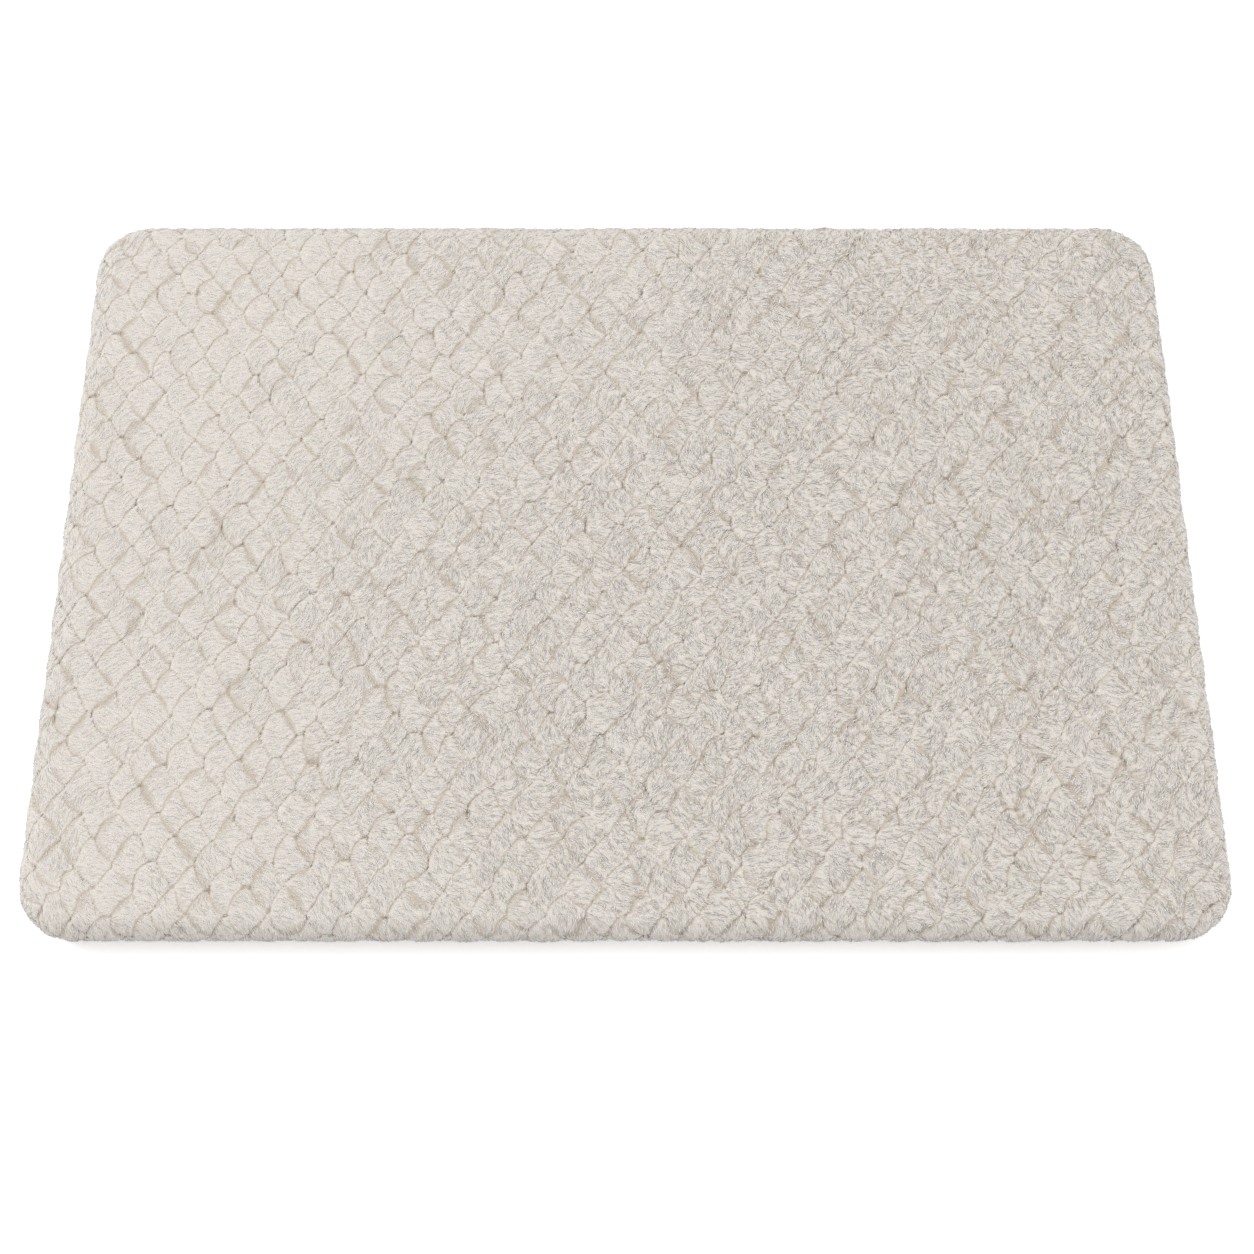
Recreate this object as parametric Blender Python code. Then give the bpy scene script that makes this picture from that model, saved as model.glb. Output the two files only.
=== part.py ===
"""A foam-filled plush bath mat, built from the floor up.

A studded rubber backing is stitched to the hem of a deep-pile plush cover. Inside the cover lie a
thin lining and a foam core. A folded care label is tacked to the backing near its rear edge and
flips out on that edge of its own.

Metres, +Z up. The origin is under the middle of the mat, on the floor that the studs stand on.
+X runs along the mat's length and +Y to its rear edge, where the label is.
"""

import math

import bmesh
import bpy

# The whole mat, seen from above, at the widest level of its rolled edge.
MAT_LENGTH = 0.610
MAT_WIDTH = 0.430
CORNER_RADIUS = 0.030
CORNER_STEPS = 8

# Layers. Neighbouring layers keep LAYER_GAP between them.
LAYER_GAP = 0.0003
STUD_HEIGHT = 0.0020
BACKING_THICKNESS = 0.0010
HEM_THICKNESS = 0.0016
LINING_THICKNESS = 0.0006
FOAM_THICKNESS = 0.0115
PILE_DEPTH = 0.0075

# The cover's rolled edge, and its hem under the core.
SIDE_PILE = 0.0085
TOP_ROLL_RADIUS = 0.0120
BOTTOM_ROLL_RADIUS = 0.0105
LEAST_UPRIGHT_WALL = 0.0005
ROLL_STEPS = 6
HEM_WIDTH = 0.036
HEM_CORNER_RADIUS = 0.004

# The foam core's own rounded edges.
FOAM_TOP_RADIUS = 0.0050
FOAM_BOTTOM_RADIUS = 0.0010
FOAM_EDGE_STEPS = 3

# The backing and its grip studs.
BACKING_INSET = 0.016
STUD_PITCH = 0.048
STUD_RADIUS = 0.0050
STUD_TIP_RADIUS = 0.0042
STUD_ROOT = 0.0004
STUD_SIDES = 6
STUD_EDGE_CLEARANCE = 0.006

# The lockstitch seam that holds the backing to the hem.
THREAD_RADIUS = 0.0002
SEAM_FROM_BACKING_EDGE = 0.003
THREAD_ROUNDNESS = 2

# The care label, a ribbon folded in two, with a bar tack across its sewn end.
LABEL_WIDTH = 0.025
LABEL_LENGTH = 0.045
LABEL_PLY = 0.00025
LABEL_FOLD_GAP = 0.0003
LABEL_FOLD_STEPS = 6
LABEL_HINGE_CLEARANCE = 0.0005
LABEL_TO_STUD = 0.002
TACK_WIDTH = 0.022
TACK_HEIGHT = 0.0012
TACK_WAVES = 9
TACK_POINTS_PER_WAVE = 8
TACK_FROM_SEAM = 0.003
HINGE_FROM_TACK = 0.002

# Levels of the layers, from the floor up.
BACKING_BOTTOM = STUD_HEIGHT
BACKING_TOP = BACKING_BOTTOM + BACKING_THICKNESS
HEM_BOTTOM = BACKING_TOP + LAYER_GAP
HEM_TOP = HEM_BOTTOM + HEM_THICKNESS
BOBBIN_LEVEL = HEM_TOP + LAYER_GAP + THREAD_RADIUS
LINING_BOTTOM = BOBBIN_LEVEL + THREAD_RADIUS + LAYER_GAP
LINING_TOP = LINING_BOTTOM + LINING_THICKNESS
FOAM_BOTTOM = LINING_TOP + LAYER_GAP
FOAM_TOP = FOAM_BOTTOM + FOAM_THICKNESS
CAVITY_TOP = FOAM_TOP + LAYER_GAP
MAT_TOP = CAVITY_TOP + PILE_DEPTH

# Levels under the backing: its thread, and below that the label.
NEEDLE_LEVEL = BACKING_BOTTOM - LAYER_GAP - THREAD_RADIUS
LABEL_THICKNESS = 2 * LABEL_PLY + LABEL_FOLD_GAP
LABEL_TOP = NEEDLE_LEVEL - THREAD_RADIUS - LAYER_GAP
LABEL_LEVEL = LABEL_TOP - LABEL_THICKNESS / 2

# Insets from the widest outline.
FILLING_INSET = SIDE_PILE + LAYER_GAP
SEAM_INSET = BACKING_INSET + SEAM_FROM_BACKING_EDGE

# Places along the rear edge, where the label is sewn on.
TACK_Y = MAT_WIDTH / 2 - SEAM_INSET - TACK_FROM_SEAM
HINGE_Y = TACK_Y - HINGE_FROM_TACK
LABEL_ROOT_Y = HINGE_Y - LABEL_HINGE_CLEARANCE
LABEL_END_Y = LABEL_ROOT_Y - LABEL_LENGTH

IVORY_PILE = (0.745, 0.700, 0.640, 1.0)
FOAM_CREAM = (0.800, 0.740, 0.560, 1.0)
LINING_WHITE = (0.820, 0.815, 0.800, 1.0)
RUBBER_GREY = (0.560, 0.540, 0.505, 1.0)
THREAD_IVORY = (0.760, 0.720, 0.660, 1.0)
SATIN_WHITE = (0.880, 0.875, 0.860, 1.0)


def clear_scene():
    for old in list(bpy.data.objects):
        bpy.data.objects.remove(old)


def plain_material(name, colour, roughness):
    material = bpy.data.materials.new(name)
    material.use_nodes = True
    shader = material.node_tree.nodes["Principled BSDF"]
    shader.inputs["Base Color"].default_value = colour
    shader.inputs["Roughness"].default_value = roughness
    shader.inputs["Metallic"].default_value = 0.0
    return material


def add_object(name, data, material=None):
    made = bpy.data.objects.new(name, data)
    bpy.context.scene.collection.objects.link(made)
    if material:
        data.materials.append(material)
    return made


def corner_radius_at(inset):
    """The plan radius of a corner that stays parallel to the widest outline."""
    return max(CORNER_RADIUS - inset, HEM_CORNER_RADIUS)


def outline(inset):
    """The mat's rounded rectangle, moved inwards by inset, as (x, y) points, anticlockwise."""
    radius = corner_radius_at(inset)
    reach_x = MAT_LENGTH / 2 - inset - radius
    reach_y = MAT_WIDTH / 2 - inset - radius
    points = []
    for quarter, (side_x, side_y) in enumerate(((1, 1), (-1, 1), (-1, -1), (1, -1))):
        for step in range(CORNER_STEPS + 1):
            angle = (quarter + step / CORNER_STEPS) * math.pi / 2
            x = side_x * reach_x + radius * math.cos(angle)
            y = side_y * reach_y + radius * math.sin(angle)
            points.append((x, y))
    return points


def prism(points, direction):
    """A bmesh of the flat outline through points, extruded along direction."""
    shape = bmesh.new()
    face = shape.faces.new([shape.verts.new(point) for point in points])
    moved = bmesh.ops.extrude_face_region(shape, geom=[face])
    corners = [item for item in moved["geom"] if isinstance(item, bmesh.types.BMVert)]
    bmesh.ops.translate(shape, verts=corners, vec=direction)
    return shape


def round_rim(shape, level, radius, steps):
    """Rounds the edges that run round the shape at one level."""
    if radius <= 0:
        return
    rim = [
        edge
        for edge in shape.edges
        if all(abs(vert.co.z - level) < 1e-6 for vert in edge.verts)
    ]
    bmesh.ops.bevel(shape, geom=rim, offset=radius, segments=steps, profile=0.5, affect="EDGES")


def finish_mesh(name, shape):
    bmesh.ops.recalc_face_normals(shape, faces=shape.faces)
    mesh = bpy.data.meshes.new(name)
    shape.to_mesh(mesh)
    shape.free()
    return mesh


def slab_mesh(name, inset, bottom, top, bottom_radius=0.0, top_radius=0.0, steps=1):
    """A layer of the mat: its outline at this inset, from bottom to top, with rounded rims."""
    points = [(x, y, bottom) for x, y in outline(inset)]
    shape = prism(points, (0, 0, top - bottom))
    round_rim(shape, bottom, bottom_radius, steps)
    round_rim(shape, top, top_radius, steps)
    return finish_mesh(name, shape)


def boolean(target, tool, operation):
    """Joins tool to target, or cuts it away, and keeps tool out of the model."""
    modifier = target.modifiers.new(f"{operation.lower()}_{tool.name}", "BOOLEAN")
    modifier.operation = operation
    modifier.solver = "EXACT"
    modifier.object = tool
    tool.hide_render = True
    tool.display_type = "WIRE"


def make_plush_cover(material):
    """The pile cloth over the top and round the edge, turned under the core as a hem."""
    wall = MAT_TOP - HEM_BOTTOM
    upper_roll = min(TOP_ROLL_RADIUS, wall / 2)
    lower_roll = min(BOTTOM_ROLL_RADIUS, wall - upper_roll - LEAST_UPRIGHT_WALL)
    points = [(x, y, HEM_BOTTOM) for x, y in outline(0.0)]
    shape = prism(points, (0, 0, wall))
    round_rim(shape, HEM_BOTTOM, lower_roll, ROLL_STEPS)
    round_rim(shape, MAT_TOP, upper_roll, ROLL_STEPS)
    cover = add_object("plush_cover", finish_mesh("plush_cover", shape), material)

    cavity = slab_mesh(
        "cover_cavity",
        SIDE_PILE,
        HEM_TOP,
        CAVITY_TOP,
        top_radius=FOAM_TOP_RADIUS + LAYER_GAP,
        steps=FOAM_EDGE_STEPS,
    )
    boolean(cover, add_object("cover_cavity", cavity), "DIFFERENCE")

    below = HEM_BOTTOM - HEM_THICKNESS
    above = (HEM_TOP + CAVITY_TOP) / 2
    mouth = slab_mesh("hem_mouth", HEM_WIDTH, below, above)
    boolean(cover, add_object("hem_mouth", mouth), "DIFFERENCE")
    return cover


def make_foam_core(material):
    mesh = slab_mesh(
        "foam_core",
        FILLING_INSET,
        FOAM_BOTTOM,
        FOAM_TOP,
        FOAM_BOTTOM_RADIUS,
        FOAM_TOP_RADIUS,
        FOAM_EDGE_STEPS,
    )
    return add_object("foam_core", mesh, material)


def make_foam_lining(material):
    """The non-woven sheet under the foam."""
    mesh = slab_mesh("foam_lining", FILLING_INSET, LINING_BOTTOM, LINING_TOP)
    return add_object("foam_lining", mesh, material)


def under_label(x, y):
    """True where a stud would touch the label as it lies folded in."""
    margin = STUD_RADIUS + LABEL_TO_STUD
    beside = abs(x) > LABEL_WIDTH / 2 + margin
    in_front = y < LABEL_END_Y - margin
    return not (beside or in_front)


def stud_places():
    """Stud centres on a staggered grid about the mat's middle, clear of the seam and the label."""
    from_edge = SEAM_INSET + STUD_EDGE_CLEARANCE + STUD_RADIUS
    half_pitch = STUD_PITCH / 2
    columns = math.floor((MAT_LENGTH / 2 - from_edge) / half_pitch)
    rows = math.floor((MAT_WIDTH / 2 - from_edge) / half_pitch)
    grid = [
        (column * half_pitch, row * half_pitch)
        for column in range(-columns, columns + 1)
        for row in range(-rows, rows + 1)
        if (column + row) % 2 == 0
    ]
    return [place for place in grid if not under_label(*place)]


def make_grip_backing(material):
    """The rubber sheet with the studs moulded on its underside, all in one piece."""
    sheet = slab_mesh("grip_backing", BACKING_INSET, BACKING_BOTTOM, BACKING_TOP)
    backing = add_object("grip_backing", sheet, material)

    studs = bmesh.new()
    height = STUD_HEIGHT + STUD_ROOT
    for x, y in stud_places():
        made = bmesh.ops.create_cone(
            studs,
            cap_ends=True,
            segments=STUD_SIDES,
            radius1=STUD_TIP_RADIUS,
            radius2=STUD_RADIUS,
            depth=height,
        )
        bmesh.ops.translate(studs, verts=made["verts"], vec=(x, y, height / 2))
    boolean(backing, add_object("stud_shapes", finish_mesh("stud_shapes", studs)), "UNION")
    return backing


def thread_along(name, points, closed, material):
    """A sewing thread with its middle on these points."""
    curve = bpy.data.curves.new(name, "CURVE")
    curve.dimensions = "3D"
    curve.bevel_depth = THREAD_RADIUS
    curve.bevel_resolution = THREAD_ROUNDNESS
    curve.use_fill_caps = True
    spline = curve.splines.new("POLY")
    spline.points.add(len(points) - 1)
    for place, point in zip(spline.points, points):
        place.co = (*point, 1.0)
    spline.use_cyclic_u = closed
    return add_object(name, curve, material)


def make_seam(material):
    """The two threads of the lockstitch: one under the backing and one on the hem, inside."""
    for name, level in (("seam_needle_thread", NEEDLE_LEVEL), ("seam_bobbin_thread", BOBBIN_LEVEL)):
        points = [(x, y, level) for x, y in outline(SEAM_INSET)]
        thread_along(name, points, True, material)


def make_label_tack(material):
    """The zigzag bar tack across the label's sewn end."""
    count = TACK_WAVES * TACK_POINTS_PER_WAVE
    points = []
    for number in range(count + 1):
        x = TACK_WIDTH * (number / count - 0.5)
        y = TACK_Y + TACK_HEIGHT / 2 * math.sin(2 * math.pi * number / TACK_POINTS_PER_WAVE)
        points.append((x, y, NEEDLE_LEVEL))
    return thread_along("label_tack", points, False, material)


def make_care_label(material):
    """The folded ribbon, seen from its side as a hairpin that is open at the sewn end."""
    outer = LABEL_THICKNESS / 2
    inner = LABEL_FOLD_GAP / 2
    fold_y = LABEL_END_Y + outer
    angles = [math.pi * (0.5 + step / LABEL_FOLD_STEPS) for step in range(LABEL_FOLD_STEPS + 1)]
    outside = [(fold_y + outer * math.cos(a), outer * math.sin(a)) for a in angles]
    inside = [(fold_y + inner * math.cos(a), inner * math.sin(a)) for a in reversed(angles)]
    side = [(LABEL_ROOT_Y, outer), *outside, (LABEL_ROOT_Y, -outer)]
    side += [(LABEL_ROOT_Y, -inner), *inside, (LABEL_ROOT_Y, inner)]
    points = [(-LABEL_WIDTH / 2, y, LABEL_LEVEL + z) for y, z in side]
    shape = prism(points, (LABEL_WIDTH, 0, 0))
    label = add_object("care_label", finish_mesh("care_label", shape), material)

    hinge = bpy.data.objects.new("label_hinge", None)
    hinge.location = (0.0, HINGE_Y, LABEL_LEVEL)
    bpy.context.scene.collection.objects.link(hinge)
    label.parent = hinge
    label.matrix_parent_inverse.translation = (0.0, -HINGE_Y, -LABEL_LEVEL)
    return label


def main():
    clear_scene()
    make_plush_cover(plain_material("ivory_pile", IVORY_PILE, 0.95))
    make_foam_core(plain_material("cream_foam", FOAM_CREAM, 0.90))
    make_foam_lining(plain_material("white_nonwoven", LINING_WHITE, 0.85))
    make_grip_backing(plain_material("grey_rubber", RUBBER_GREY, 0.65))
    thread = plain_material("ivory_thread", THREAD_IVORY, 0.70)
    make_seam(thread)
    make_label_tack(thread)
    make_care_label(plain_material("white_satin", SATIN_WHITE, 0.45))


main()
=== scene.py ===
import math

import bpy
import numpy as np
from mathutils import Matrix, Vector


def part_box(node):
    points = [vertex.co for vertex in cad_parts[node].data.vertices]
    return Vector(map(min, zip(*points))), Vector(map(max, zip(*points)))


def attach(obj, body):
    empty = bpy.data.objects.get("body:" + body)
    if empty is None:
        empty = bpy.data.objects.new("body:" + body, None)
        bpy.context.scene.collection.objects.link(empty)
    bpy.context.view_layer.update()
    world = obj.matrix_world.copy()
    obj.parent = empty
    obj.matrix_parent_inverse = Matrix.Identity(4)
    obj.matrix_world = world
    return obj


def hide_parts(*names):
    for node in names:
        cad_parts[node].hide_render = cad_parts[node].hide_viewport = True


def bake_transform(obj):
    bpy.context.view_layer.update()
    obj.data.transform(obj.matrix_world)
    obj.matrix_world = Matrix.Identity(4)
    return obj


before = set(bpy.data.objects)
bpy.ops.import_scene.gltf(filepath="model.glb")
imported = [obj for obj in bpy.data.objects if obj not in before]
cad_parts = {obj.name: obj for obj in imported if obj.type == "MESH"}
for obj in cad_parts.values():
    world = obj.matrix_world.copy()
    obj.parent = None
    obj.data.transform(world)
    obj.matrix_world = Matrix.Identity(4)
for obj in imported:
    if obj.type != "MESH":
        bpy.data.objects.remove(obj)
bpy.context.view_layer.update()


# Plush cover. A deep, soft ivory pile is knitted in a lattice of puffs, which lie over each other
# like scales. The cloth covers the core, rolls round the edge and is turned under as a hem. It is
# one closed skin here: the pile's surface outside, and the cloth's back against the core.

cover_low, cover_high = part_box("plush_cover")
foam_low, foam_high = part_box("foam_core")
CORNER = 0.030
ROLL_OVER = (cover_high.z - cover_low.z) / 2
ROLL_UNDER = 0.0105
UPRIGHT = cover_high.z - cover_low.z - ROLL_OVER - ROLL_UNDER
HEM = 0.036
HEM_THICKNESS = 0.0016
HEM_CORNER = 0.004
HEM_LINES = 8
SPACING = 0.0012
INSIDE_EVERY = 8
CORE_GAP = 0.0003
CORE_ROUNDING = 0.0053

# Lengths along the skin, from the middle of a corner's arc out over the roll to the hem's edge.
FLAT_END = CORNER - ROLL_OVER
OVER_END = FLAT_END + ROLL_OVER * math.pi / 2
UPRIGHT_END = OVER_END + UPRIGHT
UNDER_END = UPRIGHT_END + ROLL_UNDER * math.pi / 2
HEM_END = UNDER_END + HEM - ROLL_UNDER
CORE_X = cover_high.x - CORNER
CORE_Y = cover_high.y - CORNER


def smooth(start, end, value):
    """0 before start, 1 after end, and smooth between them."""
    t = np.clip((value - start) / (end - start), 0, 1)
    return t * t * (3 - 2 * t)


def away_from_core(a, b):
    """For places on the unrolled skin: how far out from the corners' middles, and which way."""
    out_x = a - np.clip(a, -CORE_X, CORE_X)
    out_y = b - np.clip(b, -CORE_Y, CORE_Y)
    far_x, far_y = np.abs(out_x), np.abs(out_y)
    out = np.maximum(far_x, far_y)
    less = np.minimum(far_x, far_y) / np.maximum(out, 1e-9)
    turn = np.where(far_x >= far_y, less, 2 - less) * math.pi / 4
    return out, np.cos(turn) * np.sign(out_x), np.sin(turn) * np.sign(out_y)


def set_round(a, b, reach, level):
    """Points at these reaches out from the corners' middles, with the corners kept round."""
    out, way_x, way_y = away_from_core(a, b)
    radius = np.where(out > UPRIGHT_END, np.maximum(reach, HEM_CORNER), reach)
    short = radius - reach
    x = np.clip(a, -CORE_X, CORE_X) * (1 - short / CORE_X) + way_x * radius * (out > 0)
    y = np.clip(b, -CORE_Y, CORE_Y) * (1 - short / CORE_Y) + way_y * radius * (out > 0)
    return np.stack([x, y, level + 0 * x], -1)


def on_cover(a, b, raised=0.0):
    """The points of the rolled skin for places on the unrolled one, raised along its normal."""
    out, _, _ = away_from_core(a, b)
    over = np.clip((out - FLAT_END) / ROLL_OVER, 0, math.pi / 2)
    under = np.clip((out - UPRIGHT_END) / ROLL_UNDER, 0, math.pi / 2)
    down = np.clip(out - OVER_END, 0, UPRIGHT)
    hem = np.maximum(out - UNDER_END, 0)
    reach = np.minimum(out, FLAT_END) + ROLL_OVER * np.sin(over) - ROLL_UNDER * (1 - np.cos(under)) - hem
    level = cover_high.z - ROLL_OVER * (1 - np.cos(over)) - down - ROLL_UNDER * np.sin(under)
    tilt = over + under
    return set_round(a, b, reach + raised * np.sin(tilt), level + raised * np.cos(tilt))


def wander(x, y, size, seed):
    """Smooth random values from -1 to 1 that change over about this size."""
    table = np.random.default_rng(seed).uniform(-1, 1, (512, 512))
    grid_x, grid_y = x / size + 256, y / size + 256
    left, low = np.floor(grid_x).astype(int), np.floor(grid_y).astype(int)
    share_x, share_y = smooth(0, 1, grid_x - left), smooth(0, 1, grid_y - low)
    left, low, right, high = left % 512, low % 512, (left + 1) % 512, (low + 1) % 512
    lower = table[left, low] * (1 - share_x) + table[right, low] * share_x
    upper = table[left, high] * (1 - share_x) + table[right, high] * share_x
    return lower * (1 - share_y) + upper * share_y


# Each puff is a low oval dome that leans, so that its higher side lies over the puff to its left.
# PUFF_REACH is how far a dome reaches, as a share of the lattice's width and length.
PUFF_WIDTH = 0.01968
PUFF_LENGTH = 0.02752
PUFF_ACROSS = 1 / math.hypot(1 / PUFF_WIDTH, 1 / PUFF_LENGTH)
PUFF_REACH = 0.53
PUFF_RADIUS = 0.0105
PUFF_JITTER = 0.13
PUFF_TILT = 0.017
PUFF_CROWN = 0.0001
PUFF_UNEVEN = 0.00012
STIR, STIR_MUSSED = 0.0011, 0.0006
STIR_SIZE, STIR_FINE_SIZE = 0.012, 0.005
RIM_DROP = 0.0011
RIM_WIDTH = 0.0008
DEEPEST = 0.0014
SPLIT_DEPTH, SPLIT_WIDTH = 0.0005, 0.0007
NOTCH, NOTCH_WIDTH = 0.0006, 0.00015
PIT, PIT_WIDTH = 0.0008, 0.00022
EDGE_BULGE = 0.0012
puff_chance = np.random.default_rng(11).uniform(-1, 1, (128, 128, 6))


def tousled(a, b):
    """How mussed the pile is: combed smooth along the left side, ruffled in the middle and right."""
    return smooth(-0.26, 0.10, a + 0.05 * wander(a, b, 0.11, 21) - 0.25 * b)


def puffs(a, b):
    """Each place's own puff, which is the highest there.

    Gives its height, its lead over the next two puffs, and the place on it.
    """
    mussed = tousled(a, b)
    stir = STIR + STIR_MUSSED * mussed
    x = a + stir * (wander(a, b, STIR_SIZE, 1) + 0.6 * wander(a, b, STIR_FINE_SIZE, 2))
    y = b + stir * (wander(a, b, STIR_SIZE, 3) + 0.6 * wander(a, b, STIR_FINE_SIZE, 4))
    u = x / PUFF_WIDTH + y / PUFF_LENGTH
    v = x / PUFF_WIDTH - y / PUFF_LENGTH
    best, second, third = (np.full(x.shape, -9.0) for _ in range(3))
    own = np.zeros((*x.shape, 4))
    relief = 1 - 0.05 * mussed
    for step_u in (-1, 0, 1):
        for step_v in (-1, 0, 1):
            cell_u, cell_v = np.rint(u) + step_u, np.rint(v) + step_v
            chance = puff_chance[cell_u.astype(int) + 64, cell_v.astype(int) + 64]
            at_u = cell_u + PUFF_JITTER * chance[..., 0]
            at_v = cell_v + PUFF_JITTER * chance[..., 1]
            from_x = x - (at_u + at_v) * PUFF_WIDTH / 2
            from_y = y - (at_u - at_v) * PUFF_LENGTH / 2
            far = np.hypot(from_x / PUFF_WIDTH, from_y / PUFF_LENGTH) / PUFF_REACH
            rim = np.exp((far - 1) * PUFF_RADIUS / RIM_WIDTH)
            top = PUFF_UNEVEN * chance[..., 3] - PUFF_TILT * from_x - RIM_DROP * rim - PUFF_CROWN * far**2
            ahead = top > best
            third = np.maximum(third, np.minimum(second, top))
            second = np.where(ahead, best, np.maximum(second, top))
            best = np.where(ahead, top, best)
            own[ahead] = np.stack([cell_u + 0 * x, cell_v + 0 * x, from_x, from_y], -1)[ahead]
    cell_u, cell_v = own[..., 0].astype(int), own[..., 1].astype(int)
    return {
        "top": np.maximum(best, -DEEPEST) * relief,
        "lead": best - second,
        "over_third": best - third,
        "far": np.hypot(own[..., 2] / PUFF_WIDTH, own[..., 3] / PUFF_LENGTH) / PUFF_REACH,
        "cell": cell_u * 1000 + cell_v,
        "x": own[..., 2],
        "y": own[..., 3],
        "along_u": (own[..., 2] / PUFF_WIDTH + own[..., 3] / PUFF_LENGTH) * PUFF_ACROSS,
        "chance": puff_chance[cell_u + 64, cell_v + 64],
    }


def pile(a, b):
    """How far the pile's surface stands over the smooth skin, and its puffs."""
    puff = puffs(a, b)
    mussed = tousled(a, b)
    out, _, _ = away_from_core(a, b)
    split = np.exp(-((puff["along_u"] / SPLIT_WIDTH) ** 2)) * smooth(-0.5, 0.6, wander(a, b, 0.006, 46))
    split *= smooth(-0.2, 0.9, puff["chance"][..., 5] + 1.1 * mussed - 0.6)
    bridged = 0.15 + 0.85 * smooth(-0.4, 0.5, wander(a, b, 0.006, 45))
    notch = NOTCH * bridged * np.exp(-puff["lead"] / NOTCH_WIDTH)
    height = puff["top"] - SPLIT_DEPTH * split - notch
    height -= PIT * np.exp(-puff["over_third"] / PIT_WIDTH)
    height += 0.00006 * mussed * wander(a, b, 0.0024, 43) + 0.0002 * wander(a, b, 0.030, 44)
    rolled = smooth(FLAT_END - 0.004, OVER_END - 0.006, out)
    height += EDGE_BULGE * rolled * (0.5 - puff["far"] ** 2)
    height *= 1 - smooth(UNDER_END - 0.008, UNDER_END, out)
    return height, puff


def skin_lines(core):
    """The places of a grid's lines across the unrolled skin: close together where the pile shows."""
    seen = core + UNDER_END
    count = INSIDE_EVERY // 2 * round(seen / SPACING / (INSIDE_EVERY // 2))
    fine = np.linspace(-seen, seen, 2 * count + 1)
    hem = seen + (HEM_END - UNDER_END) * np.arange(1, HEM_LINES + 1) / HEM_LINES
    return np.concatenate([-hem[::-1], fine, hem])


def set_points(mesh, points):
    """Moves all of a mesh's points at once."""
    mesh.vertices.foreach_set("co", points.astype(np.float32).ravel())
    mesh.update()


def grid_piece(name, lines_x, lines_y):
    """A grid of faces, and for each of its points the places on these lines."""
    bpy.ops.object.select_all(action="DESELECT")
    bpy.ops.mesh.primitive_grid_add(
        x_subdivisions=len(lines_x) - 1, y_subdivisions=len(lines_y) - 1, size=2)
    piece = bpy.context.object
    piece.name = piece.data.name = name
    points = np.empty(len(piece.data.vertices) * 3, np.float32)
    piece.data.vertices.foreach_get("co", points)
    spot = (points.reshape(-1, 3)[:, :2] + 1) / 2 * (len(lines_x) - 1, len(lines_y) - 1)
    column, row = np.rint(spot).astype(int).T
    return piece, lines_x[column], lines_y[row]


CREASE_PULL = 0.36


def onto_creases(a, b):
    """Places close to a crevice, moved onto its line, so that the crease in the skin is sharp."""
    step = 0.0001
    lead = puffs(a, b)["lead"]
    slope_a = (puffs(a + step, b)["lead"] - puffs(a - step, b)["lead"]) / (2 * step)
    slope_b = (puffs(a, b + step)["lead"] - puffs(a, b - step)["lead"]) / (2 * step)
    steep = np.maximum(np.hypot(slope_a, slope_b), 1e-3)
    away = lead / steep
    out, _, _ = away_from_core(a, b)
    move = np.where((away < CREASE_PULL * SPACING) & (out < UNDER_END - 0.004), away / steep, 0.0)
    return a - move * slope_a, b - move * slope_b


# The outside: the pile's surface.
lines_x, lines_y = skin_lines(CORE_X), skin_lines(CORE_Y)
plush, skin_a, skin_b = grid_piece("plush_pile", lines_x, lines_y)
skin_a, skin_b = onto_creases(skin_a, skin_b)
height, puff = pile(skin_a, skin_b)
set_points(plush.data, on_cover(skin_a, skin_b, height))
outside_count = len(plush.data.vertices)

# The inside: the hem's upper face, the wall round the core, its rounded top edge and its ceiling.
inside, in_a, in_b = grid_piece("plush_back", lines_x[::INSIDE_EVERY], lines_y[::INSIDE_EVERY])
hem_top = cover_low.z + HEM_THICKNESS
wall_reach = foam_high.x + CORE_GAP - CORE_X
ceiling = foam_high.z + CORE_GAP
stations = [HEM_END, UNDER_END] + [UNDER_END - INSIDE_EVERY * SPACING * n for n in range(1, 5)] + [0.0]
half_way = CORE_ROUNDING * (1 - math.sqrt(0.5))
reaches = [CORNER - HEM, wall_reach / 3, wall_reach, wall_reach, wall_reach - half_way,
           wall_reach - CORE_ROUNDING, 0.0]
levels = [hem_top, hem_top, hem_top, ceiling - CORE_ROUNDING, ceiling - half_way, ceiling, ceiling]
out, _, _ = away_from_core(in_a, in_b)
in_reach = np.interp(out, stations[::-1], reaches[::-1])
in_level = np.interp(out, stations[::-1], levels[::-1])
set_points(inside.data, set_round(in_a, in_b, in_reach, in_level))

# The two are joined along the hem's edge.
bpy.ops.object.select_all(action="DESELECT")
inside.select_set(True)
plush.select_set(True)
bpy.context.view_layer.objects.active = plush
bpy.ops.object.join()
bpy.ops.object.mode_set(mode="EDIT")
bpy.ops.mesh.select_all(action="DESELECT")
bpy.ops.mesh.select_mode(type="EDGE")
bpy.ops.mesh.select_non_manifold()
bpy.ops.mesh.bridge_edge_loops()
bpy.ops.mesh.select_all(action="SELECT")
bpy.ops.mesh.normals_make_consistent(inside=False)
bpy.ops.object.mode_set(mode="OBJECT")
plush.data.shade_smooth()


def float_layer(mesh, name, values):
    """Keeps one value for each point, which a material reads by this name."""
    layer = mesh.attributes.new(name, "FLOAT", "POINT")
    layer.data.foreach_set("value", values.astype(np.float32))


inside_points = np.zeros(len(plush.data.vertices) - outside_count)
float_layer(plush.data, "crevice_lead", np.concatenate([puff["lead"] * 1000, inside_points + 9]))
float_layer(plush.data, "pit_lead", np.concatenate([puff["over_third"] * 1000, inside_points + 9]))

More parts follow.
